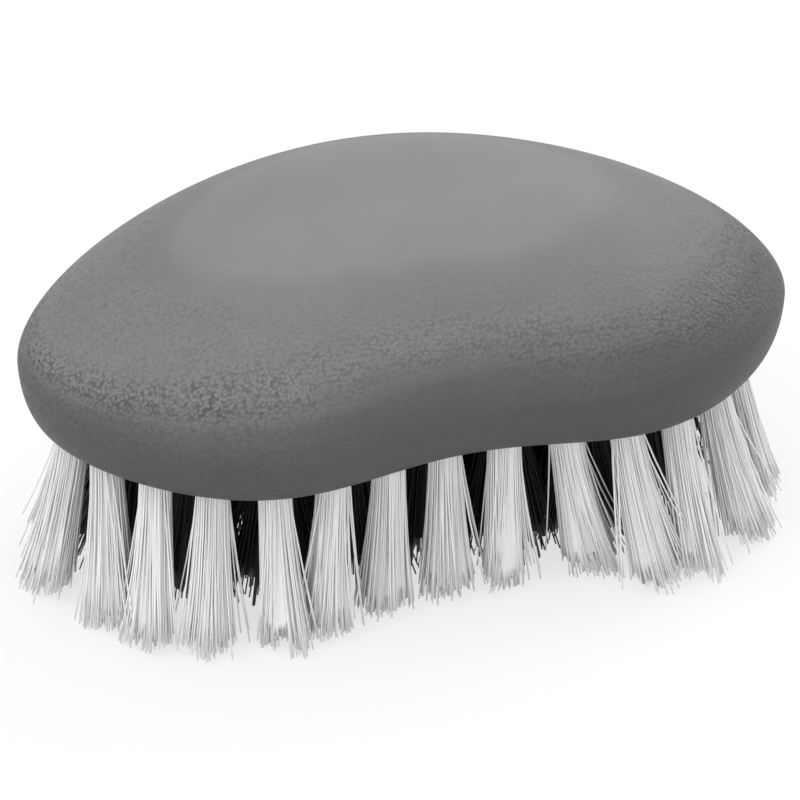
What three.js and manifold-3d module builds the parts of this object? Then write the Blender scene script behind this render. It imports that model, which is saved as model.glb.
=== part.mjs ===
// Palm laundry brush: a kidney-shaped moulded body in two parts, carrying three rows of
// bristle tufts that are folded over flat metal anchors in blind sockets.
// Millimetres, +Z up. The brush stands on its trimmed bristle tips at z = 0.

import * as THREE from 'three';
import { mergeGeometries, mergeVertices } from 'three/addons/utils/BufferGeometryUtils.js';
import Module from 'manifold-3d';

const wasm = await Module();
wasm.setup();

// Widest outline of the body, seen from above
const bodyLength = 130;
const backBulge = 47.5; // chord between the two ends to the back
const frontBulge = 42.5; // the same chord to the front, before the waist is drawn in
const waistDepth = 14;
const waistOffset = 6; // waist centre from the middle of the chord
const waistSpan = 32;
const endSlimming = 0.16; // share by which the ends are narrower than an ellipse
const coreOffset = 1.5; // line that dome and rows close in on, behind half-way from waist to back
const domeCore = 8.45; // half the length of that line on the dome

// Heights of the body
const bristleTrim = 28; // bristle face above the surface that the tips stand on
const blockHeight = 11; // bristle face to the widest line
const domeHeight = 22.5; // widest line to the crown
const bandTuck = 4.8; // how far the lower band curves in under the widest line

// Dome section: exponents of the superellipse, and the flat left at the crown
const domeFullness = 1.8;
const domeShoulder = 1.57;
const crownFlat = 0.06;

// Moulded walls
const shellWall = 2.6;
const ribThickness = 1.8;
const ribSpacing = 20;
const ribsEachSide = 2; // cross ribs on each side of the middle one
const ribLift = 4; // lower edge of the ribs above the parting line
const bossCount = 4;
const bossRadius = 4;
const bossShare = 0.55; // place of the bosses, as a share of the way from the core line to the edge
const pegRadius = 2;
const pegHeight = 8;
const pegEndGap = 1;
const lipWidth = 1.6;
const lipHeight = 2.5;
const seamGap = 0.3; // between two pieces that meet or fit together

// Bristle face, sockets and anchors
const edgeLip = 1.2; // rim of the block round the bristle face
const sliceThickness = 2;
const backingRim = 0.1; // backing left outside the strands of the outer row
const socketRadius = 3;
const socketSides = 8;
const socketRoof = 2.1; // plastic left between a socket and the parting line
const anchorThickness = 0.4;
const anchorHeight = 2;
const anchorBite = 0.75; // how far each end of an anchor is driven into the socket wall
const anchorClip = 0.6; // corners clipped off the leading edge
const anchorCover = 0.6; // bristle folded over the leading edge

// Tufts: strands stand in a ring round a middle one and flare towards the tips
const strandsRound = 6;
const strandSides = 3;
const strandInset = 0.4; // socket wall to the strands, at the bristle face
const strandClear = 0.05; // gap between the strands of a tuft at the bristle face
const strandGap = 0.4; // least gap between strands of two tufts at the tips
const strandSink = 1; // strand buried in its slice of backing
const foldAngle = 43; // corner of the folded root, in degrees from straight across the anchor
const foldSink = 0.5;

// How finely curves are cut into straight steps
const outlineSteps = 54;
const domeSteps = 9;
const bandSteps = 5;
const pinSides = 12;

// Finishes
const gripGrey = new THREE.MeshStandardMaterial({ color: 0x858585, roughness: 0.62, metalness: 0 });
const blockGrey = new THREE.MeshStandardMaterial({ color: 0x707070, roughness: 0.5, metalness: 0 });
const whiteBristle = new THREE.MeshStandardMaterial({ color: 0xe2e2dc, roughness: 0.45, metalness: 0 });
const blackBristle = new THREE.MeshStandardMaterial({ color: 0x161616, roughness: 0.45, metalness: 0 });
const anchorSteel = new THREE.MeshStandardMaterial({ color: 0xb8b8b4, roughness: 0.35, metalness: 1 });

// Sizes that follow from those above
const halfLength = bodyLength / 2;
const coreSetback = (backBulge - frontBulge + waistDepth) / 2 + coreOffset;
const coreReach = backBulge - coreSetback;
const rowCore = halfLength - coreReach;
const partingHeight = bristleTrim + blockHeight;
const shellBase = partingHeight + seamGap;
const shellTop = partingHeight + domeHeight;
const sliceTop = bristleTrim + sliceThickness;
const pocketFloor = sliceTop + seamGap;
const socketTop = partingHeight - socketRoof;
const socketFlat = socketRadius * Math.cos(Math.PI / socketSides);
const foldTop = socketTop - seamGap;
const foldCorner = socketFlat - seamGap;
const foldHalfWidth = foldCorner * Math.cos((foldAngle * Math.PI) / 180);
const foldHalfDepth = foldCorner * Math.sin((foldAngle * Math.PI) / 180);
const slotTop = foldTop - anchorCover;
const anchorTop = slotTop - seamGap;
const slotBottom = anchorTop - anchorHeight - seamGap;
const slotHalfWidth = anchorThickness / 2 + seamGap;
const anchorLength = 2 * (socketFlat + anchorBite);
const strandRadius = (socketRadius - strandInset - strandClear) / 3;
const strandRing = 2 * strandRadius + strandClear;
const sliceInset = bandTuck + edgeLip + seamGap;
const edgeMargin = sliceInset + backingRim + strandRadius + strandRing;
const cutOver = 1; // how far a cutter stands out past the face that it cuts

// The rows of tufts, from the edge inwards, as far apart as the two sides of the inner one.
// The lean carries the tips outwards.
const rows = [
  { name: 'outer', count: 28, shift: 0.55, lean: 6.5, material: whiteBristle },
  { name: 'middle', count: 16, shift: 0.25, lean: 2, material: blackBristle },
  { name: 'inner', count: 10, shift: 0.5, lean: 0.8, material: blackBristle },
];
const rowReach = coreReach - edgeMargin;
const rowSpacing = rowReach / (rows.length - 0.5);
rows.forEach((row, place) => {
  row.shrink = 1 - (place * rowSpacing) / rowReach;
});

// Point of the widest outline: a half ellipse behind the chord, and one with a waist before it
const outlinePoint = (angle) => {
  const c = Math.cos(angle);
  const s = Math.sin(angle);
  const x = halfLength * c;
  const slim = 1 - endSlimming * c * c;
  if (s > 0) return new THREE.Vector2(x, backBulge * s * slim);
  const waist = waistDepth * Math.exp(-(((x - waistOffset) / waistSpan) ** 2)) * s * s;
  return new THREE.Vector2(x, frontBulge * s * slim + waist);
};

const outlineNormal = (angle) => {
  const step = 0.001;
  const along = outlinePoint(angle + step).sub(outlinePoint(angle - step)).normalize();
  return new THREE.Vector2(along.y, -along.x);
};

// How points spread along a core line: evenly, or gathered near its ends to keep a curve's ends round
const evenly = (share) => share;
const nearEnds = (share) => (share * (3 - share * share)) / 2;

// Closed kidney curve: the widest outline set in by a distance, then drawn in towards a core line
class KidneyCurve extends THREE.Curve {
  constructor({ inset = 0, shrink = 1, core = rowCore, spread = nearEnds } = {}) {
    super();
    this.inset = inset;
    this.shrink = shrink;
    this.core = core;
    this.spread = spread;
  }

  getPoint(t, target = new THREE.Vector2()) {
    const angle = 2 * Math.PI * t;
    const edge = outlinePoint(angle).addScaledVector(outlineNormal(angle), -this.inset);
    const middle = new THREE.Vector2(this.core * this.spread(Math.cos(angle)), coreSetback);
    return target.lerpVectors(middle, edge, this.shrink);
  }
}

const ringPoints = (curve) => curve.getPoints(outlineSteps).slice(0, outlineSteps);

const ringAt = (points, height) => points.map((p) => new THREE.Vector3(p.x, p.y, height));

// Closed body through a stack of rings that run anticlockwise, from the lowest to the highest
const loft = (rings) => {
  const count = rings[0].length;
  const index = [];
  for (let level = 0; level + 1 < rings.length; level += 1) {
    for (let i = 0; i < count; i += 1) {
      const next = (i + 1) % count;
      const a = level * count + i;
      const b = level * count + next;
      index.push(a, b, b + count, a, b + count, a + count);
    }
  }
  const cap = (ring) => THREE.ShapeUtils.triangulateShape(ring.map((p) => new THREE.Vector2(p.x, p.y)), []);
  const top = (rings.length - 1) * count;
  for (const [a, b, c] of cap(rings[0])) index.push(a, c, b);
  for (const [a, b, c] of cap(rings.at(-1))) index.push(top + a, top + b, top + c);
  const geometry = new THREE.BufferGeometry().setFromPoints(rings.flat());
  geometry.setIndex(index);
  return geometry;
};

// Upright slab of a closed outline, with an optional hole
const slab = (outline, low, high, hole) => {
  const shape = new THREE.Shape(outline);
  if (hole) shape.holes.push(new THREE.Path(hole));
  const geometry = new THREE.ExtrudeGeometry(shape, { depth: high - low, bevelEnabled: false });
  return geometry.translate(0, 0, low);
};

// Upright pin, from one height to another
const pin = (radius, low, high, x, y) => {
  const geometry = new THREE.CylinderGeometry(radius, radius, high - low, pinSides);
  return geometry.rotateX(Math.PI / 2).translate(x, y, (low + high) / 2);
};

// Closed geometry as a solid that can be joined and cut
const solid = (geometry) => {
  geometry.deleteAttribute('normal');
  geometry.deleteAttribute('uv');
  const merged = mergeVertices(geometry);
  const vertProperties = new Float32Array(merged.attributes.position.array);
  const triVerts = new Uint32Array(merged.index.array);
  return new wasm.Manifold(new wasm.Mesh({ numProp: 3, vertProperties, triVerts }));
};

const geometryOf = (body) => {
  const { vertProperties, triVerts } = body.getMesh();
  const geometry = new THREE.BufferGeometry();
  geometry.setAttribute('position', new THREE.BufferAttribute(vertProperties, 3));
  geometry.setIndex(new THREE.BufferAttribute(triVerts, 1));
  geometry.computeVertexNormals();
  return geometry;
};

// Dome above the parting line, its outline set in by a distance all round
const dome = (inset, base, crown, skirt) => {
  const rings = [];
  if (skirt) rings.push(ringAt(ringPoints(new KidneyCurve({ inset })), base - skirt));
  for (let step = 0; step <= domeSteps; step += 1) {
    const angle = (step / domeSteps) * (Math.PI / 2);
    const shrink = crownFlat + (1 - crownFlat) * Math.max(Math.cos(angle), 0) ** (2 / domeFullness);
    const lift = Math.sin(angle) ** (2 / domeShoulder);
    const curve = new KidneyCurve({ inset, shrink, core: domeCore, spread: evenly });
    rings.push(ringAt(ringPoints(curve), base + (crown - base) * lift));
  }
  return loft(rings);
};

const bossCurve = new KidneyCurve({ shrink: bossShare, core: domeCore, spread: evenly });
const bossPlaces = [];
for (let k = 0; k < bossCount; k += 1) bossPlaces.push(bossCurve.getPoint((k + 0.5) / bossCount));

// Hollow grip shell with moulded ribs, and bosses that take the pegs of the block
const handleShell = () => {
  const ribMiddle = partingHeight + ribLift + domeHeight / 2;
  const longRib = new THREE.BoxGeometry(bodyLength, ribThickness, domeHeight);
  let stiffeners = solid(longRib.translate(0, coreSetback, ribMiddle));
  for (let place = -ribsEachSide; place <= ribsEachSide; place += 1) {
    const crossRib = new THREE.BoxGeometry(ribThickness, bodyLength, domeHeight);
    stiffeners = stiffeners.add(solid(crossRib.translate(place * ribSpacing, coreSetback, ribMiddle)));
  }
  for (const { x, y } of bossPlaces) {
    stiffeners = stiffeners.add(solid(pin(bossRadius, shellBase, shellTop, x, y)));
  }
  const hollow = solid(dome(shellWall, shellBase, shellTop - shellWall, cutOver)).subtract(stiffeners);
  let shell = solid(dome(0, shellBase, shellTop)).subtract(hollow);
  const boreTop = partingHeight + pegHeight + pegEndGap;
  for (const { x, y } of bossPlaces) {
    shell = shell.subtract(solid(pin(pegRadius + seamGap, shellBase - cutOver, boreTop, x, y)));
  }
  return shell;
};

// Places of a row's tufts: middle, outward direction, and how far the tips may spread
const rowCurve = (row) => new KidneyCurve({ inset: edgeMargin, shrink: row.shrink });

const tuftsOf = (row) => {
  const curve = rowCurve(row);
  const tufts = [];
  for (let k = 0; k < row.count; k += 1) {
    const u = (k + row.shift) / row.count;
    const along = curve.getTangentAt(u);
    const outward = new THREE.Vector2(along.y, -along.x);
    const root = curve.getPointAt(u);
    tufts.push({ root, outward, tip: root.clone().addScaledVector(outward, row.lean) });
  }
  return tufts;
};
for (const row of rows) row.tufts = tuftsOf(row);

const allTufts = rows.flatMap((row) => row.tufts);
for (const tuft of allTufts) {
  const others = allTufts.filter((other) => other !== tuft);
  const nearest = Math.min(...others.map((other) => other.tip.distanceTo(tuft.tip)));
  tuft.tipRing = nearest / 2 - strandRadius - strandGap / 2;
}

// Turns a piece that is drawn at the origin, outward side on +X, into a tuft's place
const atTuft = (geometry, tuft) => {
  geometry.rotateZ(tuft.outward.angle());
  return geometry.translate(tuft.root.x, tuft.root.y, 0);
};

// Blind socket with a notch on either side, into which the ends of the anchor are driven
const socket = () => {
  const end = anchorLength / 2 + seamGap;
  const half = [
    new THREE.Vector2(slotHalfWidth, socketFlat),
    new THREE.Vector2(slotHalfWidth, end),
    new THREE.Vector2(-slotHalfWidth, end),
    new THREE.Vector2(-slotHalfWidth, socketFlat),
  ];
  for (let corner = 0; corner < socketSides / 2; corner += 1) {
    const angle = Math.PI / 2 + ((corner + 0.5) * 2 * Math.PI) / socketSides;
    half.push(new THREE.Vector2(Math.cos(angle), Math.sin(angle)).multiplyScalar(socketRadius));
  }
  const otherHalf = half.map((p) => p.clone().negate());
  return slab([...half, ...otherHalf], pocketFloor - cutOver, socketTop);
};

// Lip of the block: follows the inside of the shell wall, a fit gap away from it
const locatingLip = () => {
  const outerInset = shellWall + seamGap;
  const crown = shellTop - outerInset;
  const outer = solid(dome(outerInset, partingHeight, crown, cutOver));
  const inner = solid(dome(outerInset + lipWidth, partingHeight, crown - lipWidth, 2 * cutOver));
  const reach = slab(ringPoints(new KidneyCurve()), partingHeight - cutOver, partingHeight + lipHeight);
  return outer.subtract(inner).intersect(solid(reach));
};

// Lower body: curved band, bristle-face recess, sockets, locating lip and pegs
const bristleBlock = () => {
  const rings = [];
  for (let step = 0; step <= bandSteps; step += 1) {
    const angle = (step / bandSteps) * (Math.PI / 2);
    const curve = new KidneyCurve({ inset: bandTuck * (1 - Math.sin(angle)) });
    rings.push(ringAt(ringPoints(curve), bristleTrim + blockHeight * (1 - Math.cos(angle))));
  }
  const recess = ringPoints(new KidneyCurve({ inset: bandTuck + edgeLip }));
  let block = solid(loft(rings)).subtract(solid(slab(recess, bristleTrim - cutOver, pocketFloor)));
  block = block.subtract(solid(mergeGeometries(allTufts.map((tuft) => atTuft(socket(), tuft)))));
  block = block.add(locatingLip());
  for (const { x, y } of bossPlaces) {
    block = block.add(solid(pin(pegRadius, partingHeight - cutOver, partingHeight + pegHeight, x, y)));
  }
  return block;
};

// One strand: a straight prism from its place in the slice to a flat tip on the ground
const strand = (root, tip) => {
  const section = (middle, height) => {
    const ring = [];
    for (let side = 0; side < strandSides; side += 1) {
      const angle = (side * 2 * Math.PI) / strandSides;
      const x = middle.x + strandRadius * Math.cos(angle);
      ring.push(new THREE.Vector3(x, middle.y + strandRadius * Math.sin(angle), height));
    }
    return ring;
  };
  const slope = tip.clone().sub(root).divideScalar(bristleTrim);
  const buried = root.clone().addScaledVector(slope, -strandSink);
  return loft([section(tip, 0), section(buried, bristleTrim + strandSink)]);
};

const tuftStrands = (tuft) => {
  const strands = [strand(tuft.root, tuft.tip)];
  for (let k = 0; k < strandsRound; k += 1) {
    const angle = tuft.outward.angle() + (k * 2 * Math.PI) / strandsRound;
    const way = new THREE.Vector2(Math.cos(angle), Math.sin(angle));
    const root = tuft.root.clone().addScaledVector(way, strandRing);
    strands.push(strand(root, tuft.tip.clone().addScaledVector(way, tuft.tipRing)));
  }
  return strands;
};

// Folded root of a tuft: rises from the slice into the socket, with a slot for the anchor
const foldedRoot = () => {
  const bend = foldHalfWidth / 2;
  const shape = new THREE.Shape([
    new THREE.Vector2(-foldHalfWidth, sliceTop - foldSink),
    new THREE.Vector2(foldHalfWidth, sliceTop - foldSink),
    new THREE.Vector2(foldHalfWidth, foldTop - bend),
    new THREE.Vector2(bend, foldTop),
    new THREE.Vector2(-bend, foldTop),
    new THREE.Vector2(-foldHalfWidth, foldTop - bend),
  ]);
  shape.holes.push(new THREE.Path([
    new THREE.Vector2(-slotHalfWidth, slotBottom),
    new THREE.Vector2(-slotHalfWidth, slotTop),
    new THREE.Vector2(slotHalfWidth, slotTop),
    new THREE.Vector2(slotHalfWidth, slotBottom),
  ]));
  const geometry = new THREE.ExtrudeGeometry(shape, { depth: 2 * foldHalfDepth, bevelEnabled: false });
  return geometry.rotateX(Math.PI / 2).translate(0, foldHalfDepth, 0);
};

// Line half-way between a row and the next one in, moved outwards or inwards by half a gap
const rowBorder = (place, side) => {
  const halfway = (rows[place].shrink + rows[place + 1].shrink) / 2;
  const shrink = halfway + (side * seamGap) / (2 * rowReach);
  return ringPoints(new KidneyCurve({ inset: edgeMargin, shrink }));
};

// A row of bristles: its band of the backing, the folded roots above it and the strands below
const bristleRow = (row, place) => {
  const outer = place === 0 ? ringPoints(new KidneyCurve({ inset: sliceInset })) : rowBorder(place - 1, -1);
  const inner = place === rows.length - 1 ? null : rowBorder(place, 1);
  const backing = solid(slab(outer, bristleTrim, sliceTop, inner));
  const roots = solid(mergeGeometries(row.tufts.map((tuft) => atTuft(foldedRoot(), tuft))));
  const strands = solid(mergeGeometries(row.tufts.flatMap(tuftStrands)));
  return backing.add(roots).add(strands);
};

// Flat metal anchor, its long side across the socket and its clipped edge leading
const anchorGeometry = () => {
  const half = anchorLength / 2;
  const shape = new THREE.Shape([
    new THREE.Vector2(-half, 0),
    new THREE.Vector2(half, 0),
    new THREE.Vector2(half, anchorHeight - anchorClip),
    new THREE.Vector2(half - anchorClip, anchorHeight),
    new THREE.Vector2(anchorClip - half, anchorHeight),
    new THREE.Vector2(-half, anchorHeight - anchorClip),
  ]);
  const geometry = new THREE.ExtrudeGeometry(shape, { depth: anchorThickness, bevelEnabled: false });
  return geometry.translate(0, 0, -anchorThickness / 2).rotateX(Math.PI / 2).rotateZ(Math.PI / 2);
};

const brush = new THREE.Group();

const addPiece = (name, geometry, material) => {
  const mesh = new THREE.Mesh(geometry, material);
  mesh.name = name;
  brush.add(mesh);
  return mesh;
};

addPiece('handle_shell', geometryOf(handleShell()), gripGrey);
addPiece('bristle_block', geometryOf(bristleBlock()), blockGrey);
rows.forEach((row, place) => {
  addPiece(`${row.name}_bristle_row`, geometryOf(bristleRow(row, place)), row.material);
  row.tufts.forEach((tuft, k) => {
    const number = String(k + 1).padStart(2, '0');
    const anchor = addPiece(`${row.name}_anchor_${number}`, anchorGeometry(), anchorSteel);
    anchor.position.set(tuft.root.x, tuft.root.y, anchorTop - anchorHeight);
    anchor.rotation.z = tuft.outward.angle();
  });
});

// The origin lies under the middle of the whole brush
const middle = new THREE.Box3().setFromObject(brush).getCenter(new THREE.Vector3());
brush.position.set(-middle.x, -middle.y, 0);

export default brush;
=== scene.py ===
import math
import random

import bmesh
import bpy
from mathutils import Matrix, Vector


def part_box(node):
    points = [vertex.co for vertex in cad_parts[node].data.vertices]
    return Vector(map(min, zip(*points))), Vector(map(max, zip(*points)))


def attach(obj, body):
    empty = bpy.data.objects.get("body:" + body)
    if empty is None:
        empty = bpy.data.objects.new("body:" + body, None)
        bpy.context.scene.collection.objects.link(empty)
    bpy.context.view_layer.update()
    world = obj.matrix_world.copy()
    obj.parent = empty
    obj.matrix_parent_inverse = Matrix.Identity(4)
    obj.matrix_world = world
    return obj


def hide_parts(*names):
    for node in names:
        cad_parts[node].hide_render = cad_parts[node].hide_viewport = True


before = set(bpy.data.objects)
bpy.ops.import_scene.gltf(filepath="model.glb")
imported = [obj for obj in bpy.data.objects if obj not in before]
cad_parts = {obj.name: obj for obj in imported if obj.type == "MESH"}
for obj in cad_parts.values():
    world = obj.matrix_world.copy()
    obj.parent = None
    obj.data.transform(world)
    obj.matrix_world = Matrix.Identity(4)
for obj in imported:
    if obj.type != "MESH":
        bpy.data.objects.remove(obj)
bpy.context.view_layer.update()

scene = bpy.context.scene
MM = 0.001

# Grip outline and heights, with lengths in millimetres
HALF_LENGTH = 65.0
BACK_BULGE = 47.5
FRONT_BULGE = 42.5
WAIST_DEPTH = 14.0
WAIST_OFFSET = 6.0
WAIST_SPAN = 32.0
END_SLIMMING = 0.16
CROWN_CORE = 8.45
CROWN_SETBACK = 11.0
PLAN_SHIFT = Vector((0.74, -6.78))
BRISTLE_FACE = 28.0
WIDEST_LINE = 39.0
CROWN = 61.5
BAND_TUCK = 4.8
DOME_FULLNESS = 1.8
DOME_SHOULDER = 1.57
DOME_SWEEP = math.radians(88.5)
SHELL_WALL = 2.6
SEAM = 0.01

# Fineness of the body's mesh
RING_POINTS = 192
TANGENT_STEP = 0.001
INSIDE_STEPS = 14
OUTSIDE_STEPS = 40
BAND_STEPS = 16
SHARP_EDGE = math.radians(40)

# Sockets, with lengths in millimetres
SOCKET_RADIUS = 3.0
SOCKET_TOP = 36.9
SOCKET_SIDES = 20
CHAMFER_WIDTH = 0.2
CHAMFER_DEPTH = 0.25

# Body finish at heights above the floor: (millimetres, grey) and (millimetres, depth of grain). The grey
# holds painted shade, darker towards the foot, and a painted highlight at the crown
BODY_GREYS_AND_SHADE = (
    (28, 0.06), (36, 0.075), (39.5, 0.087), (43, 0.099), (46, 0.131), (50, 0.162),
    (55.8, 0.168), (58, 0.203), (61.5, 0.208),
)
BODY_RELIEF = (
    (30, 0.16), (41, 0.28), (45, 0.5), (47.5, 1.0), (50.5, 0.95), (53, 0.4), (56.5, 0.1), (58.5, 0.02),
)

# Change of the finish along the body, painted shade and light among it, with lengths in metres. A span is a
# pair of places, and the pair that follows it gives the values there
NOISE_MEAN = 0.5
WAVER_SCALE = 55.0
WAVER_HEIGHT = 0.0035
LEFT_SPAN = (-0.06, -0.02)
LEFT_RAISE = (0.0085, 0.0)
SIDE_HEIGHTS = (0.039, 0.047)
RAISE_CEILING = 0.0542
RIGHT_SPAN = (0.0, 0.03)
RIGHT_SHIFT = (0.0, 0.002)
CROWN_EDGE = (0.051, 0.055)
LEFT_GRAIN_SPAN = (-0.04, -0.01)
LEFT_GRAIN = (1.9, 0.8)
RIGHT_GRAIN_SPAN = (0.005, 0.035)
RIGHT_GRAIN = (1.0, 1.3)

# Pebble grain: size in millimetres, then scales and reaches in pebbles, and shares of the height
PEBBLE = 0.66
JUMBLE = 0.75
WARP_SCALE = 0.7
WARP_REACH = 0.7
PEBBLE_SOFTNESS = 0.45
DOME_FALL = -1.6
PATCH_SCALE = 0.13
PATCH_RANGE = (0.35, 0.65)
PATCH_RISE = (0.6, 1.0)
CREASE_RANGE = (0.3, 0.75)
BUMP_DEPTH = 0.0003

# Painted light and shade of the grain, and the body's gloss
HOLLOW_SHADE = -0.11
PAINTED_TOP_LIGHT = 0.34
CREASE_SHADE = -0.05
CLOUD_SCALE = 90.0
CLOUD_RANGE = (0.3, 0.7)
CLOUD_TONES = (0.97, 1.03)
BODY_ROUGHNESS = (0.5, 0.65)
BODY_SPECULAR = 0.25

# Looks of the bristles, steel and floor, and the light
PALE_LOW, PALE_HIGH = 0.76, 0.92
PALE_ROUGHNESS = 0.4
DARK_LOW, DARK_HIGH = 0.008, 0.02
DARK_ROUGHNESS = 0.38
# The bristles grow lighter towards the tips in painted light, and the roots stay darker in painted shade
PAINTED_TIP_LIGHT = 0.5
STEEL_DARK = (0.5, 0.5, 0.48, 1)
STEEL_LIGHT = (0.68, 0.68, 0.66, 1)
STEEL_ROUGHNESS = (0.28, 0.45)
STEEL_LINES = (900.0, 900.0, 9000.0)
FLOOR_GREY = 0.86
FLOOR_ROUGHNESS = 0.9
FLOOR_WHITENING = 0.7
AIR_LIGHT = 0.64
LAMP_AIM = Vector((0, 0, 0.03))

# Tufts, with lengths in millimetres. Steps are shares of the way from the bristle face to the tips, and the
# first step of a strand or core is up in the socket
EDGE_TUFTS = 28
MIDDLE_TUFTS = 16
INNER_TUFTS = 10
ROOT_RADIUS = 2.6
ROOT_TOP = 33.6
ROOT_SHARE = 0.2
STRAND_SIDES = 4
STRAND_STEPS = (-ROOT_SHARE, 0.0, 0.28, 0.55, 0.8, 1.0)
LEAN_BOW = 0.25
FLARE_BOW = 0.8
FLARE_POWER = 3
TIP_TAPER = 0.3
GOLDEN_TURN = math.pi * (3 - math.sqrt(5))

# Packed core of a tuft
CORE_STEPS = (-ROOT_SHARE, 0.0, 0.28, 0.55, 0.8, 0.95, 0.8)
CORE_SHARE = (0.9, 0.95)
CORE_END_SIZE = 0.15
FLUTES = 44
FLUTE_ENDS = (0.8, 0.95)
FLUTE_SWELL = (0.95, 1.0)
FLUTE_GROOVE = 0.94

# Unevenness of the strands
LEAN_OUT_SPREAD = 0.35
LEAN_ALONG_SPREAD = 0.4
WISPS = 14
WISP_DRIFT = 0.75
WISP_LIFT = 0.6
STRAND_DRIFT = 0.45
STRAND_LIFT = 0.5
RADIUS_SPREAD = (0.92, 1.06)
STRAY_SHARES = (0.02, 0.06, 0.1)
STRAY_RIM = 0.75
STRAY_SIDE = 0.6
STRAY_THROW = (1, 5)
STRAY_BOW = (0.1, 0.5)
SHORT_SHARE = 0.06
SHORT_LIFT = 3

# Rows: strands in a tuft, their radius, the flare of all and the further flare of the outer ones, the bow of
# that flare, and the unevenness of the tips
PALE_ROW = {"strands": 250, "radius": 0.165, "flare": (0.6, 1.2), "bows": (0.6, 1.0), "ragged": 2.0}
MIDDLE_ROW = {"strands": 200, "radius": 0.19, "flare": (5.0, 3.0), "bows": (0.1, 0.5), "ragged": 1.0}
INNER_ROW = {"strands": 170, "radius": 0.19, "flare": (5.0, 3.0), "bows": (0.1, 0.5), "ragged": 1.0}

# How far the tips lean outwards. The middle row's tuft at the left end leans further
BACK_LEAN = 5.0
MIDDLE_LEAN = 3.5
LEFT_END_TUFT = 9
LEFT_END_LEAN = 7.0
INNER_LEAN = 0.8

# Edge tufts from the left end round the front to the right end: bend of the tips to the right and to the
# back, and how wide the tuft spreads
FIRST_BENT = 13
TIP_BENDS = (
    (-4.5, 0, 1), (-6.5, -2.5, 1), (-8.4, -8.8, 1.1), (-2.4, -10.6, 1), (-4, -10.6, 0.85),
    (-4, -8.3, 0.75), (-0.6, -6.6, 0.95), (-3.8, -6.3, 0.7), (-2, -4.8, 1), (-1, -4.1, 1.4),
    (-0.8, -5.1, 0.9), (4.8, -2.6, 1.8), (3.9, -9.4, 0.85), (1.8, -11, 0.85), (6.4, -8.5, 1),
    (6.2, -4.5, 1), (5.5, -1, 1), (4.3, 0, 1),
)


# Shapes
def outline(angle):
    """Point of the widest outline of the grip, in plan, before the shift into the frame."""
    c, s = math.cos(angle), math.sin(angle)
    x = HALF_LENGTH * c
    slim = 1 - END_SLIMMING * c * c
    if s > 0:
        return Vector((x, BACK_BULGE * s * slim))
    waist = WAIST_DEPTH * math.exp(-((x - WAIST_OFFSET) / WAIST_SPAN) ** 2) * s * s
    return Vector((x, FRONT_BULGE * s * slim + waist))


def kidney(angle, inset, shrink):
    """The outline set in by a distance, then drawn in towards the core line of the crown."""
    along = (outline(angle + TANGENT_STEP) - outline(angle - TANGENT_STEP)).normalized()
    edge = outline(angle) - inset * Vector((along.y, -along.x))
    core = Vector((CROWN_CORE * math.cos(angle), CROWN_SETBACK))
    return core.lerp(edge, shrink) + PLAN_SHIFT


def dome_rings(inset, crown, steps):
    """Rings of the dome, (inset, shrink, height), from the widest line to just under the crown."""
    base = WIDEST_LINE + SEAM
    rings = []
    for step in range(steps + 1):
        angle = step / steps * DOME_SWEEP
        shrink = math.cos(angle) ** (2 / DOME_FULLNESS)
        lift = math.sin(angle) ** (2 / DOME_SHOULDER)
        rings.append((inset, shrink, base + (crown - base) * lift))
    return rings


def band_rings():
    """Rings of the curved band, (inset, shrink, height), from the widest line down to the bristle face."""
    rings = []
    for step in range(BAND_STEPS + 1):
        angle = math.pi / 2 * (1 - step / BAND_STEPS)
        tuck = BAND_TUCK * (1 - math.sin(angle))
        rings.append((tuck, 1.0, BRISTLE_FACE + (WIDEST_LINE - BRISTLE_FACE) * (1 - math.cos(angle))))
    return rings


def ring_edges(ring):
    """Edges that join the vertices of a fresh ring."""
    return list(dict.fromkeys(e for v in ring for e in v.link_edges))


def extrude(bm, edges):
    """Extrudes a ring of edges. Returns the vertices and the edges of the new ring."""
    grown = bmesh.ops.extrude_edge_only(bm, edges=edges)["geom"]
    ring = [g for g in grown if isinstance(g, bmesh.types.BMVert)]
    return ring, [g for g in grown if isinstance(g, bmesh.types.BMEdge)]


def smooth_faces(bm):
    for f in bm.faces:
        f.smooth = True


def loft(bm, rings):
    """Skin through kidney rings, one extrusion a step. Returns the edges of the first and the last ring."""
    turn = bm.verts.layers.float.new("turn")
    ring = bmesh.ops.create_circle(bm, segments=RING_POINTS, radius=1.0)["verts"]
    for v in ring:
        v[turn] = math.atan2(v.co.y, v.co.x)
    first = ring_edges(ring)
    edges = first
    for step, (inset, shrink, height) in enumerate(rings):
        if step:
            ring, edges = extrude(bm, edges)
        for v in ring:
            p = kidney(v[turn], inset, shrink)
            v.co = (p.x * MM, p.y * MM, height * MM)
    return first, edges


def finish_piece(name, bm, material, nodes):
    """The bmesh as a piece of the brush, standing for its CAD nodes."""
    mesh = bpy.data.meshes.new(name)
    bm.to_mesh(mesh)
    bm.free()
    mesh.materials.append(material)
    piece = bpy.data.objects.new(name, mesh)
    scene.collection.objects.link(piece)
    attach(piece, "root")
    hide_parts(*nodes)
    return piece


# Shader helpers
def add_node(tree, kind, inputs=None, **settings):
    """A node with its settings, and with each input linked to a socket or set to a value."""
    node = tree.nodes.new(kind)
    for key, value in settings.items():
        setattr(node, key, value)
    for socket, value in (inputs or {}).items():
        if isinstance(value, bpy.types.NodeSocket):
            tree.links.new(value, node.inputs[socket])
        else:
            node.inputs[socket].default_value = value
    return node


def math_of(tree, operation, *values, **settings):
    """Result of a math node."""
    inputs = dict(enumerate(values))
    return add_node(tree, "ShaderNodeMath", inputs, operation=operation, **settings).outputs[0]


def vector_of(tree, operation, inputs):
    """Result of a vector math node."""
    return add_node(tree, "ShaderNodeVectorMath", inputs, operation=operation).outputs[0]


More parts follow.
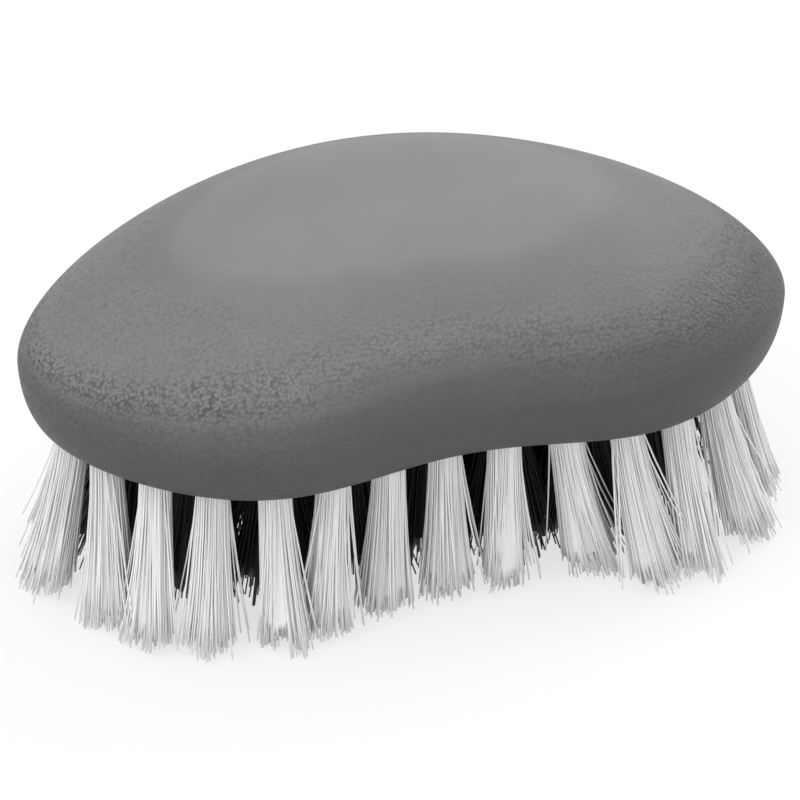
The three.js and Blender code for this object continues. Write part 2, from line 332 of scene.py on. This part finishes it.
def carried(tree, value, source, target, **settings):
    """A value carried from one range to another, and held at its ends."""
    inputs = {"Value": value}
    inputs["From Min"], inputs["From Max"] = source
    inputs["To Min"], inputs["To Max"] = target
    return add_node(tree, "ShaderNodeMapRange", inputs, **settings).outputs[0]


def noise_of(tree, place, scale, detail):
    """Outputs of a noise texture."""
    return add_node(tree, "ShaderNodeTexNoise", {"Vector": place, "Scale": scale, "Detail": detail}).outputs


def new_group(name, inputs, outputs):
    """An empty shader group with its sockets, and its input and output nodes."""
    tree = bpy.data.node_groups.new(name, "ShaderNodeTree")
    for label, kind, default in inputs:
        socket = tree.interface.new_socket(label, in_out="INPUT", socket_type=kind)
        if default is not None:
            socket.default_value = default
    for label, kind in outputs:
        tree.interface.new_socket(label, in_out="OUTPUT", socket_type=kind)
    return tree, tree.nodes.new("NodeGroupInput"), tree.nodes.new("NodeGroupOutput")


def grey(value):
    return (value, value, value, 1)


# Shader groups
GRAIN_INPUTS = (
    ("Vector", "NodeSocketVector", None),
    ("Pebble", "NodeSocketFloat", PEBBLE),
    ("Jumble", "NodeSocketFloat", JUMBLE),
)


def pebble_grain_group():
    """Fine domed pebbles of a moulded leather grain, with creases between them, uneven over the body."""
    outputs = [("Height", "NodeSocketFloat"), ("Crease", "NodeSocketFloat")]
    tree, taken, given = new_group("pebble grain", GRAIN_INPUTS, outputs)
    pebbles_per_metre = math_of(tree, "DIVIDE", 1 / MM, taken.outputs["Pebble"])
    scaled = vector_of(tree, "SCALE", {0: taken.outputs["Vector"], "Scale": pebbles_per_metre})
    warp = noise_of(tree, scaled, WARP_SCALE, detail=2.0)["Color"]
    warped = vector_of(tree, "MULTIPLY_ADD", {0: warp, 1: (WARP_REACH, WARP_REACH, WARP_REACH), 2: scaled})
    cell = {
        "Vector": warped,
        "Scale": 1.0,
        "Smoothness": PEBBLE_SOFTNESS,
        "Randomness": taken.outputs["Jumble"],
    }
    off_centre = add_node(tree, "ShaderNodeTexVoronoi", cell, feature="SMOOTH_F1").outputs["Distance"]
    fall = math_of(tree, "MULTIPLY", off_centre, off_centre)
    dome = math_of(tree, "MULTIPLY_ADD", fall, DOME_FALL, 1.0, use_clamp=True)
    patches = noise_of(tree, scaled, PATCH_SCALE, detail=3.0)["Fac"]
    rise = carried(tree, patches, PATCH_RANGE, PATCH_RISE)
    crease = carried(tree, dome, CREASE_RANGE, (1.0, 0.0), interpolation_type="SMOOTHSTEP")
    tree.links.new(math_of(tree, "MULTIPLY", dome, rise), given.inputs["Height"])
    tree.links.new(math_of(tree, "MULTIPLY", crease, rise), given.inputs["Crease"])
    return tree


def height_ramp(tree, height, stops):
    """A value that follows the height above the floor, given as (millimetres, value) stops."""
    share = math_of(tree, "MULTIPLY", height, 1 / (CROWN * MM))
    ramp = add_node(tree, "ShaderNodeValToRGB", {0: share})
    ramp.color_ramp.interpolation = "EASE"
    elements = ramp.color_ramp.elements
    ready = len(elements)
    for k, (level, value) in enumerate(stops):
        stop = elements[k] if k < ready else elements.new(level / CROWN)
        stop.position = level / CROWN
        stop.color = grey(value)
    return ramp.outputs["Color"]


def moulded_finish_and_light_group(grain):
    """The body's finish by height, with painted shade and light: a dark foot of painted shade, grained sides,
    and a smooth crown lightened by a painted highlight.
    """
    outputs = [("Color", "NodeSocketColor"), ("Height", "NodeSocketFloat"), ("Roughness", "NodeSocketFloat")]
    tree, taken, given = new_group("moulded finish and painted light", GRAIN_INPUTS, outputs)
    place = taken.outputs["Vector"]
    fed = {label: taken.outputs[label] for label, _, _ in GRAIN_INPUTS}
    pebbles = add_node(tree, "ShaderNodeGroup", fed, node_tree=grain).outputs
    spot = add_node(tree, "ShaderNodeSeparateXYZ", {0: place}).outputs
    waver = math_of(tree, "SUBTRACT", noise_of(tree, place, WAVER_SCALE, detail=3.0)["Fac"], NOISE_MEAN)
    level = math_of(tree, "MULTIPLY_ADD", waver, WAVER_HEIGHT, spot["Z"])

    # At the left end the upper sides' lighter painted tone comes lower down, and their grain with it
    left = carried(tree, spot["X"], LEFT_SPAN, LEFT_RAISE)
    side = carried(tree, spot["Z"], SIDE_HEIGHTS, (0.0, 1.0))
    raised = math_of(tree, "ADD", level, math_of(tree, "MULTIPLY", left, side))
    raised = math_of(tree, "MINIMUM", raised, RAISE_CEILING)
    level = math_of(tree, "MAXIMUM", level, raised)

    # At the right end, below the crown, the painted shade of the foot reaches higher up and the grain lower
    # down
    right = carried(tree, spot["X"], RIGHT_SPAN, RIGHT_SHIFT)
    below = carried(tree, level, CROWN_EDGE, (1.0, 0.0))
    shift = math_of(tree, "MULTIPLY", right, below)
    # Grey by height: painted shade darkens it towards the foot, and a painted highlight lightens the crown
    tone = height_ramp(tree, math_of(tree, "SUBTRACT", level, shift), BODY_GREYS_AND_SHADE)
    relief = height_ramp(tree, math_of(tree, "ADD", level, shift), BODY_RELIEF)

    # The grain is deepest at the left end, and deeper at the right end than in the middle
    left_grain = carried(tree, spot["X"], LEFT_GRAIN_SPAN, LEFT_GRAIN, interpolation_type="SMOOTHSTEP")
    relief = math_of(tree, "MULTIPLY", relief, left_grain)
    relief = math_of(tree, "MULTIPLY", relief, carried(tree, spot["X"], RIGHT_GRAIN_SPAN, RIGHT_GRAIN))
    height = math_of(tree, "MULTIPLY", pebbles["Height"], relief)
    crease = math_of(tree, "MULTIPLY", pebbles["Crease"], relief)

    # The tops of the pebbles are lightened by painted light, and the creases darkened by painted shade
    hollow = math_of(tree, "MULTIPLY_ADD", relief, HOLLOW_SHADE, 1.0)
    painted_tops = math_of(tree, "MULTIPLY_ADD", height, PAINTED_TOP_LIGHT, hollow)
    shading = math_of(tree, "MULTIPLY_ADD", crease, CREASE_SHADE, painted_tops)
    cloud = noise_of(tree, place, CLOUD_SCALE, detail=4.0)["Fac"]
    shading = math_of(tree, "MULTIPLY", shading, carried(tree, cloud, CLOUD_RANGE, CLOUD_TONES))
    colour = vector_of(tree, "SCALE", {0: tone, "Scale": shading})
    tree.links.new(colour, given.inputs["Color"])
    tree.links.new(height, given.inputs["Height"])
    tree.links.new(carried(tree, crease, (0.0, 1.0), BODY_ROUGHNESS), given.inputs["Roughness"])
    return tree


def strand_tone_group():
    """Lightness of a bristle: its own shade, and painted light that makes it lighter from root to tip."""
    inputs = [
        ("Shade", "NodeSocketFloat", 0.5),
        ("Reach", "NodeSocketFloat", 0.5),
        ("Low", "NodeSocketColor", None),
        ("High", "NodeSocketColor", None),
    ]
    tree, taken, given = new_group("strand tone", inputs, [("Color", "NodeSocketColor")])
    reach, shade = taken.outputs["Reach"], taken.outputs["Shade"]
    # Painted light lifts the lightness towards the tip
    lightness = math_of(tree, "MULTIPLY_ADD", reach, PAINTED_TIP_LIGHT, shade, use_clamp=True)
    ends = {"Factor": lightness, "A": taken.outputs["Low"], "B": taken.outputs["High"]}
    mix = add_node(tree, "ShaderNodeMix", ends, data_type="RGBA")
    tree.links.new(mix.outputs["Result"], given.inputs["Color"])
    return tree


# Materials
def new_material(name):
    """A material, its node tree and its shader."""
    material = bpy.data.materials.new(name)
    material.use_nodes = True
    tree = material.node_tree
    return material, tree, tree.nodes["Principled BSDF"]


def body_plastic(name, finish):
    """Grey moulded plastic with the body's finish, whose grey holds painted shade and light."""
    material, tree, shader = new_material(name)
    place = add_node(tree, "ShaderNodeTexCoord").outputs["Object"]
    grain = {"Vector": place, "Pebble": PEBBLE, "Jumble": JUMBLE}
    look = add_node(tree, "ShaderNodeGroup", grain, node_tree=finish).outputs
    raised = {"Strength": 1.0, "Distance": BUMP_DEPTH, "Height": look["Height"]}
    tree.links.new(add_node(tree, "ShaderNodeBump", raised).outputs[0], shader.inputs["Normal"])
    tree.links.new(look["Color"], shader.inputs["Base Color"])
    tree.links.new(look["Roughness"], shader.inputs["Roughness"])
    shader.inputs["Specular IOR Level"].default_value = BODY_SPECULAR
    return material


def bristle_plastic(name, tone, low, high, roughness):
    """Satin extruded filament, each strand with a shade of its own, lightened towards the tip by painted
    light.
    """
    material, tree, shader = new_material(name)
    shade = add_node(tree, "ShaderNodeAttribute", attribute_name="shade").outputs["Fac"]
    reach = add_node(tree, "ShaderNodeAttribute", attribute_name="reach").outputs["Fac"]
    strand = {"Shade": shade, "Reach": reach, "Low": grey(low), "High": grey(high)}
    colour = add_node(tree, "ShaderNodeGroup", strand, node_tree=tone)
    tree.links.new(colour.outputs["Color"], shader.inputs["Base Color"])
    shader.inputs["Roughness"].default_value = roughness
    return material


def anchor_steel():
    """Drawn flat wire with fine level lines."""
    material, tree, shader = new_material("drawn anchor steel")
    place = add_node(tree, "ShaderNodeTexCoord").outputs["Object"]
    stretched = add_node(tree, "ShaderNodeMapping", {"Vector": place, "Scale": STEEL_LINES}).outputs[0]
    lines = noise_of(tree, stretched, scale=1.0, detail=2.0)["Fac"]
    shades = {"Factor": lines, "A": STEEL_DARK, "B": STEEL_LIGHT}
    base = add_node(tree, "ShaderNodeMix", shades, data_type="RGBA")
    tree.links.new(base.outputs["Result"], shader.inputs["Base Color"])
    tree.links.new(carried(tree, lines, (0.0, 1.0), STEEL_ROUGHNESS), shader.inputs["Roughness"])
    shader.inputs["Metallic"].default_value = 1.0
    return material


def floor_paper():
    """White paper that stays nearly white to the camera and takes a soft shadow."""
    material, tree, shader = new_material("white floor paper")
    shader.inputs["Base Color"].default_value = grey(FLOOR_GREY)
    shader.inputs["Roughness"].default_value = FLOOR_ROUGHNESS
    glow = add_node(tree, "ShaderNodeEmission", {"Color": grey(1), "Strength": 1.0})
    path = add_node(tree, "ShaderNodeLightPath").outputs
    seen = math_of(tree, "MAXIMUM", path["Is Camera Ray"], path["Is Glossy Ray"])
    seen = math_of(tree, "MAXIMUM", seen, path["Is Transmission Ray"])
    share = math_of(tree, "MULTIPLY", seen, FLOOR_WHITENING)
    mix = add_node(tree, "ShaderNodeMixShader", {0: share, 1: shader.outputs[0], 2: glow.outputs[0]})
    tree.links.new(mix.outputs[0], tree.nodes["Material Output"].inputs["Surface"])
    return material


# Body pieces
def grip_shell(material):
    """Hollow grip above the widest line: inner wall, narrow foot and domed outside, skinned in one run."""
    bm = bmesh.new()
    inside = dome_rings(SHELL_WALL, CROWN - SHELL_WALL, INSIDE_STEPS)
    outside = dome_rings(0.0, CROWN, OUTSIDE_STEPS)
    top_inside, top_outside = loft(bm, inside[::-1] + outside)
    bmesh.ops.edgeloop_fill(bm, edges=top_inside)
    bmesh.ops.edgeloop_fill(bm, edges=top_outside)
    bmesh.ops.recalc_face_normals(bm, faces=bm.faces)
    smooth_faces(bm)
    piece = finish_piece("grip_shell", bm, material, ["handle_shell"])
    piece.data.set_sharp_from_angle(angle=SHARP_EDGE)


def bristle_base(material, tufts):
    """Lower body: curved band from the widest line to the bristle face, with a blind socket for each tuft."""
    bm = bmesh.new()
    top, face = loft(bm, band_rings())
    bmesh.ops.edgeloop_fill(bm, edges=top)
    rims = []
    for tuft in tufts:
        mouth_radius = (SOCKET_RADIUS + CHAMFER_WIDTH) * MM
        mouth = bmesh.ops.create_circle(bm, segments=SOCKET_SIDES, radius=mouth_radius)["verts"]
        bmesh.ops.translate(bm, verts=mouth, vec=(tuft["root"].x, tuft["root"].y, BRISTLE_FACE * MM))
        rims.append(ring_edges(mouth))
    face_edges = face + [e for rim in rims for e in rim]
    bmesh.ops.triangle_fill(bm, edges=face_edges, use_beauty=True, normal=(0, 0, -1))
    for tuft, rim in zip(tufts, rims):
        root = tuft["root"]
        for height in (BRISTLE_FACE + CHAMFER_DEPTH, SOCKET_TOP):
            ring, rim = extrude(bm, rim)
            for v in ring:
                out = (v.co.xy - root).normalized() * SOCKET_RADIUS * MM + root
                v.co = (out.x, out.y, height * MM)
        bmesh.ops.edgeloop_fill(bm, edges=rim)
    bmesh.ops.recalc_face_normals(bm, faces=bm.faces)
    smooth_faces(bm)
    piece = finish_piece("bristle_base", bm, material, ["bristle_block"])
    piece.data.set_sharp_from_angle(angle=SHARP_EDGE)


# Bristles
def edge_set(number, outward):
    """Bend of an edge tuft's tips, and its spread: as listed where it shows, and outwards at the back."""
    place = (number - FIRST_BENT) % EDGE_TUFTS
    if place < len(TIP_BENDS):
        right, back, spread = TIP_BENDS[place]
        return Vector((right, back)), spread
    return outward * BACK_LEAN, 1.0


def middle_set(number, outward):
    """Bend and spread of a tuft of the middle row."""
    lean = LEFT_END_LEAN if number == LEFT_END_TUFT else MIDDLE_LEAN
    return outward * lean, 1.0


def inner_set(_, outward):
    """Bend and spread of a tuft of the inner row, the same for each."""
    return outward * INNER_LEAN, 1.0


def tufts_of(row, count, set_of):
    """The tufts of a row: root, way along the row and outwards from it, bend of the tips, and spread."""
    roots = []
    for k in range(count):
        low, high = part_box(f"{row}_anchor_{k + 1:02d}")
        roots.append(((low + high) / 2).xy)
    tufts = []
    for k, root in enumerate(roots):
        along = (roots[(k + 1) % count] - roots[k - 1]).normalized()
        outward = Vector((along.y, -along.x))
        pull, spread = set_of(k + 1, outward)
        tufts.append({"root": root, "along": along, "outward": outward, "pull": pull, "spread": spread})
    return tufts


def strand_form():
    """One straight strand with flat ends, drawn out of a ring. Its height counts the steps."""
    bm = bmesh.new()
    ring = bmesh.ops.create_circle(bm, segments=STRAND_SIDES, radius=1.0)["verts"]
    root_edges = ring_edges(ring)
    edges = root_edges
    for _ in STRAND_STEPS[1:]:
        ring, edges = extrude(bm, edges)
        bmesh.ops.translate(bm, verts=ring, vec=(0, 0, 1))
    smooth_faces(bm)
    bmesh.ops.edgeloop_fill(bm, edges=root_edges)
    bmesh.ops.edgeloop_fill(bm, edges=edges)
    bmesh.ops.recalc_face_normals(bm, faces=bm.faces)
    mesh = bpy.data.meshes.new("strand_form")
    bm.to_mesh(mesh)
    bm.free()
    return mesh


def swept(reach, bow):
    """Share of a sideways throw at a share of the way to the tip: even with no bow, late with a full one."""
    reach = max(reach, 0)
    return (1 - bow) * reach + bow * reach * reach


def spoke(reach, angle):
    """Point of the plan at a distance and an angle."""
    return Vector((reach * math.cos(angle), reach * math.sin(angle)))


def add_core(bm, tuft, flare, pull, rng):
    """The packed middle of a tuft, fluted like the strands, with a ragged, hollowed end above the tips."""
    shade, reach = bm.verts.layers.float["shade"], bm.verts.layers.float["reach"]
    turn = bm.verts.layers.float.new("turn")
    flutes = [(rng.random(), rng.uniform(*FLUTE_ENDS), rng.uniform(*FLUTE_SWELL)) for _ in range(FLUTES)]
    ring = bmesh.ops.create_circle(bm, segments=2 * FLUTES, radius=1.0)["verts"]
    for v in ring:
        v[turn] = math.atan2(v.co.y, v.co.x)
    root_edges = ring_edges(ring)
    edges = root_edges
    last = len(CORE_STEPS) - 1
    for step, t in enumerate(CORE_STEPS):
        if step:
            ring, edges = extrude(bm, edges)
        for v in ring:
            place = round(v[turn] / math.pi * FLUTES)
            tone, end, swell = flutes[place // 2 % FLUTES]
            size = swell if place % 2 else FLUTE_GROOVE * swell
            along = min(t, end)
            if step == last:
                size, along = CORE_END_SIZE, t
            sweep = swept(along, FLARE_BOW)
            share = CORE_SHARE[0] + (CORE_SHARE[1] - CORE_SHARE[0]) * sweep
            size *= share * (ROOT_RADIUS + (flare[0] + flare[1] * share ** FLARE_POWER) * sweep)
            spot = pull * swept(along, LEAN_BOW) + Vector((math.cos(v[turn]), math.sin(v[turn]))) * size
            height = BRISTLE_FACE * (1 - along)
            if along <= 0:
                height = BRISTLE_FACE - along / ROOT_SHARE * (ROOT_TOP - BRISTLE_FACE)
            v.co = (tuft["root"].x + spot.x * MM, tuft["root"].y + spot.y * MM, height * MM)
            v[shade] = tone
            v[reach] = max(along, 0)
    smooth_faces(bm)
    bmesh.ops.edgeloop_fill(bm, edges=root_edges)
    bmesh.ops.edgeloop_fill(bm, edges=edges)
    bmesh.ops.recalc_face_normals(bm, faces=bm.faces)


def draw_wisps(ragged, rng):
    """Wisps that the strands of a tuft gather in: (place in the tuft, drift and lift of the tips)."""
    wisps = []
    for _ in range(WISPS):
        turn = rng.uniform(0, 2 * math.pi)
        place = spoke(math.sqrt(rng.random()), turn)
        drift = Vector((rng.gauss(0, WISP_DRIFT), rng.gauss(0, WISP_DRIFT)))
        wisps.append((place, drift, abs(rng.gauss(0, ragged))))
    return wisps


def add_tuft(bm, form, tuft, strands, radius, flare, bows, ragged, rng):
    """A core and its strands. They flare more towards the rim of the tuft, and their tips gather in wisps."""
    shade, reach = bm.verts.layers.float["shade"], bm.verts.layers.float["reach"]
    along, outward = tuft["along"], tuft["outward"]
    flare = [share * tuft["spread"] for share in flare]
    phase = rng.uniform(0, 2 * math.pi)
    pull = tuft["pull"] + outward * rng.gauss(0, LEAN_OUT_SPREAD) + along * rng.gauss(0, LEAN_ALONG_SPREAD)
    add_core(bm, tuft, flare, pull, rng)
    stray = rng.choice(STRAY_SHARES)
    wisps = draw_wisps(ragged, rng)
    for k in range(strands):
        out = math.sqrt((k + 0.5) / strands)
        spot = spoke(out, k * GOLDEN_TURN + phase)
        root = (along * spot.x + outward * spot.y) * ROOT_RADIUS
        _, drift, lift = min(wisps, key=lambda wisp: (wisp[0] - spot).length)
        own_drift = Vector((rng.gauss(0, STRAND_DRIFT), rng.gauss(0, STRAND_DRIFT)))
        throw = spot * (flare[0] + flare[1] * out ** FLARE_POWER) + drift + own_drift
        bow = rng.uniform(*bows)
        if out > STRAY_RIM and abs(spot.x) > STRAY_SIDE and rng.random() < stray:
            throw.x += math.copysign(rng.uniform(*STRAY_THROW), spot.x)
            bow = rng.uniform(*STRAY_BOW)
        throw = along * throw.x + outward * throw.y
        tip = WISP_LIFT * lift + abs(rng.gauss(0, STRAND_LIFT * ragged))
        if rng.random() < SHORT_SHARE:
            tip += rng.uniform(0, SHORT_LIFT)
        own_radius = radius * rng.uniform(*RADIUS_SPREAD)
        tone = rng.random()
        before = len(bm.verts)
        bm.from_mesh(form)
        bm.verts.ensure_lookup_table()
        for v in bm.verts[before:]:
            t = STRAND_STEPS[round(v.co.z)]
            if t < 0:
                middle, height = root, ROOT_TOP
            else:
                middle = root + pull * swept(t, LEAN_BOW) + throw * swept(t, bow)
                height = BRISTLE_FACE + (tip - BRISTLE_FACE) * t
            here = own_radius * (1 - TIP_TAPER * max(t, 0) ** 2)
            x = tuft["root"].x + (middle.x + here * v.co.x) * MM
            y = tuft["root"].y + (middle.y + here * v.co.y) * MM
            v.co = (x, y, height * MM)
            v[shade] = tone
            v[reach] = max(t, 0)


def bristle_row(name, node, material, tufts, row, seed):
    """The tufts of a row, or of part of one, as a piece."""
    rng = random.Random(seed)
    form = strand_form()
    whole = bmesh.new()
    for tuft in tufts:
        bm = bmesh.new()
        bm.verts.layers.float.new("shade")
        bm.verts.layers.float.new("reach")
        add_tuft(bm, form, tuft, rng=rng, **row)
        mesh = bpy.data.meshes.new("tuft")
        bm.to_mesh(mesh)
        bm.free()
        whole.from_mesh(mesh)
        bpy.data.meshes.remove(mesh)
    bpy.data.meshes.remove(form)
    finish_piece(name, whole, material, [node])


# Studio
def paper_floor():
    """The floor that the brush stands on."""
    bm = bmesh.new()
    bmesh.ops.create_grid(bm, x_segments=1, y_segments=1, size=3.0)
    mesh = bpy.data.meshes.new("floor")
    bm.to_mesh(mesh)
    bm.free()
    mesh.materials.append(floor_paper())
    floor = bpy.data.objects.new("floor", mesh)
    scene.collection.objects.link(floor)


def studio_air():
    """Even light from all round, seen by the camera as white."""
    world = bpy.data.worlds.new("studio")
    scene.world = world
    world.use_nodes = True
    tree = world.node_tree
    air = tree.nodes["Background"]
    air.inputs["Color"].default_value = grey(1)
    air.inputs["Strength"].default_value = AIR_LIGHT
    white = add_node(tree, "ShaderNodeBackground", {"Color": grey(1), "Strength": 1.0})
    seen = add_node(tree, "ShaderNodeLightPath").outputs["Is Camera Ray"]
    blend = add_node(tree, "ShaderNodeMixShader", {0: seen, 1: air.outputs[0], 2: white.outputs[0]})
    tree.links.new(blend.outputs[0], tree.nodes["World Output"].inputs["Surface"])


def softbox(name, place, size, watts):
    """A square lamp aimed at the middle of the brush."""
    lamp = bpy.data.lights.new(name, "AREA")
    lamp.shape = "SQUARE"
    lamp.size = size
    lamp.energy = watts
    box = bpy.data.objects.new(name, lamp)
    box.location = place
    box.rotation_euler = (LAMP_AIM - Vector(place)).to_track_quat("-Z", "Y").to_euler()
    scene.collection.objects.link(box)


def photo_camera(place, view):
    """The camera at the photo's angle."""
    lens = bpy.data.cameras.new("camera")
    lens.lens = 160.57
    lens.sensor_width = 36.0
    lens.clip_start = 0.05
    camera = bpy.data.objects.new("camera", lens)
    camera.location = place
    camera.rotation_euler = Vector(view).to_track_quat("-Z", "Y").to_euler()
    scene.collection.objects.link(camera)
    scene.camera = camera


finish = moulded_finish_and_light_group(pebble_grain_group())
tone = strand_tone_group()
grip_grey = body_plastic("grained grip plastic", finish)
block_grey = body_plastic("smooth block plastic", finish)
pale = bristle_plastic("pale bristle", tone, PALE_LOW, PALE_HIGH, PALE_ROUGHNESS)
dark = bristle_plastic("dark bristle", tone, DARK_LOW, DARK_HIGH, DARK_ROUGHNESS)
steel = anchor_steel()

outer = tufts_of("outer", EDGE_TUFTS, edge_set)
middle = tufts_of("middle", MIDDLE_TUFTS, middle_set)
inner = tufts_of("inner", INNER_TUFTS, inner_set)
back, front = outer[:EDGE_TUFTS // 2], outer[EDGE_TUFTS // 2:]

grip_shell(grip_grey)
bristle_base(block_grey, outer + middle + inner)
bristle_row("outer_bristles_back", "outer_bristle_row", pale, back, PALE_ROW, seed=11)
bristle_row("outer_bristles_front", "outer_bristle_row", pale, front, PALE_ROW, seed=12)
bristle_row("middle_bristles", "middle_bristle_row", dark, middle, MIDDLE_ROW, seed=13)
bristle_row("inner_bristles", "inner_bristle_row", dark, inner, INNER_ROW, seed=14)
for name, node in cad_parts.items():
    if "_anchor_" in name:
        node.material_slots[0].material = steel

scene.view_settings.view_transform = "Standard"
paper_floor()
studio_air()
softbox("overhead", place=(0.0, 0.1, 1.05), size=0.7, watts=3.5)
softbox("left_fill", place=(-0.7, -0.1, 0.75), size=0.7, watts=3.0)
softbox("front_fill", place=(-0.15, -1.0, 0.3), size=0.8, watts=2.2)
softbox("back_fill", place=(0.75, 0.6, 0.65), size=0.7, watts=3.4)
softbox("right_fill", place=(0.95, 0.2, 0.3), size=0.7, watts=1.3)
photo_camera(place=(-0.11464, -0.48527, 0.37113), view=(0.189518, 0.793878, -0.577852))
